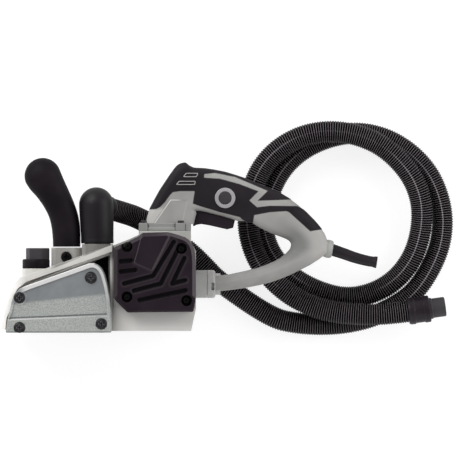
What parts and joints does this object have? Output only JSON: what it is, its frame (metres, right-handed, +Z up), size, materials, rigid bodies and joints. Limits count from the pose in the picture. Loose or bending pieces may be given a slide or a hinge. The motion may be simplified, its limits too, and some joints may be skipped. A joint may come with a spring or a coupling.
{
  "type": "wall chaser",
  "caption": "Wall chaser lying on its side: low guard with a cast cover, transverse motor, D handle, club front handle, dust elbow and two loose turns of ribbed hose.",
  "frame": {"origin": "on the surface that the machine lies on, under the middle of the box of the machine without its hose", "axes": "the machine lies on its right side: +X from its front tip to its cord guard, +Y its own up (from the sole to the front handle's top), +Z up from the surface, towards its left side"},
  "size_m": [0.5885, 0.2807, 0.148],
  "materials": {
    "housing_paint": "warm light grey satin paint over a casting",
    "cast_cover": "blasted casting with a bright machined rim",
    "black_plastic": "fine textured moulding",
    "soft_grip": "matt soft overmould",
    "grey_plastic": "fine textured moulding",
    "ring_grey": "satin ring",
    "steel": "turned",
    "dark_screws": "black oxide",
    "laminations": "stacked sheet",
    "copper": "varnished wire",
    "carbide": "ground carbide",
    "belt_rubber": "ribbed belt",
    "hose_plastic": "ribbed flexible hose",
    "carbon": "pressed carbon"
  },
  "bodies": {
    "machine": {"belt_cover": "black_plastic", "belt_cover_screws": "dark_screws", "brush_holders": "black_plastic", "button_ring": "ring_grey", "carbon_brushes": "carbon", "chamber_cover": "cast_cover", "chamber_cover_screws": "dark_screws", "cord_clamp": "black_plastic", "cord_guard": "belt_rubber", "drive_belt": "belt_rubber", "dust_elbow": "black_plastic", "field_coils": "copper", "front_handle": "black_plastic", "front_handle_screw": "dark_screws", "handle_grip_left": "soft_grip", "handle_grip_right": "soft_grip", "handle_screws": "dark_screws", "handle_shell_left": "grey_plastic", "handle_shell_right": "grey_plastic", "hose_coil": "hose_plastic", "hose_cuff": "black_plastic", "hose_nozzle": "black_plastic", "hose_run": "hose_plastic", "main_housing": "housing_paint", "motor_bearing_drive": "steel", "motor_bearing_end": "steel", "motor_cover": "black_plastic", "motor_cover_screws": "dark_screws", "neck_screws": "dark_screws", "rear_spigot": "housing_paint", "sole_hinge_pin": "steel", "spigot_screws": "dark_screws", "spindle_bearings": "steel", "spindle_seal": "belt_rubber", "stator_core": "laminations", "switch_body": "black_plastic", "trigger_pin": "steel"},
    "rotor": {"armature_shaft": "steel", "armature_core": "laminations", "commutator": "copper", "cooling_fan": "black_plastic", "motor_pulley": "steel"},
    "cutter": {"spindle": "steel", "spindle_pulley": "steel", "cutter_drum": "steel", "carbide_teeth": "carbide", "cutter_bolt": "steel"},
    "trigger_lever": {"trigger": "black_plastic"},
    "lock_key": {"lock_button": "black_plastic"},
    "knob": {"depth_knob": "black_plastic"},
    "sleeve": {"depth_sleeve": "steel"},
    "sole": {"sole_plate": "steel"}
  },
  "joints": [
    {"name": "rotor_spin", "type": "hinge", "parent": "machine", "child": "rotor", "pos_m": [-0.0474, -0.041, 0.07], "axis": [0, 0, 1], "continuous": true},
    {"name": "cutter_spin", "type": "hinge", "parent": "machine", "child": "cutter", "pos_m": [-0.1521, -0.0738, 0.07], "axis": [0, 0, 1], "continuous": true},
    {"name": "trigger_pull", "type": "hinge", "parent": "machine", "child": "trigger_lever", "pos_m": [0.0176, 0.052, 0.088], "axis": [0, 0, 1], "range_deg": [0, 8], "stiffness_Nm_per_rad": 2, "springref_deg": -5.73},
    {"name": "lock_button_press", "type": "slide", "parent": "machine", "child": "lock_key", "axis": [0, 0, -1], "range_m": [0, 0.004], "stiffness_N_per_m": 600, "springref_m": -0.001},
    {"name": "depth_turn", "type": "hinge", "parent": "machine", "child": "knob", "pos_m": [-0.1999, -0.024, 0.088], "axis": [0, 1, 0], "range_deg": [0, 1080]},
    {"name": "sleeve_rise", "type": "slide", "parent": "machine", "child": "sleeve", "axis": [0, 1, 0], "range_m": [0, 0.02763]},
    {"name": "sole_swing", "type": "hinge", "parent": "machine", "child": "sole", "pos_m": [-0.1109, -0.1075, 0.079], "axis": [0, 0, -1], "range_deg": [0, 17]}
  ],
  "couplings": [
    {"joint": "cutter_spin", "follows": "rotor_spin", "ratio": 0.64286},
    {"joint": "sleeve_rise", "follows": "depth_turn", "m_per_rad": 0.0014654},
    {"joint": "sole_swing", "follows": "depth_turn", "ratio": 0.015741}
  ]
}
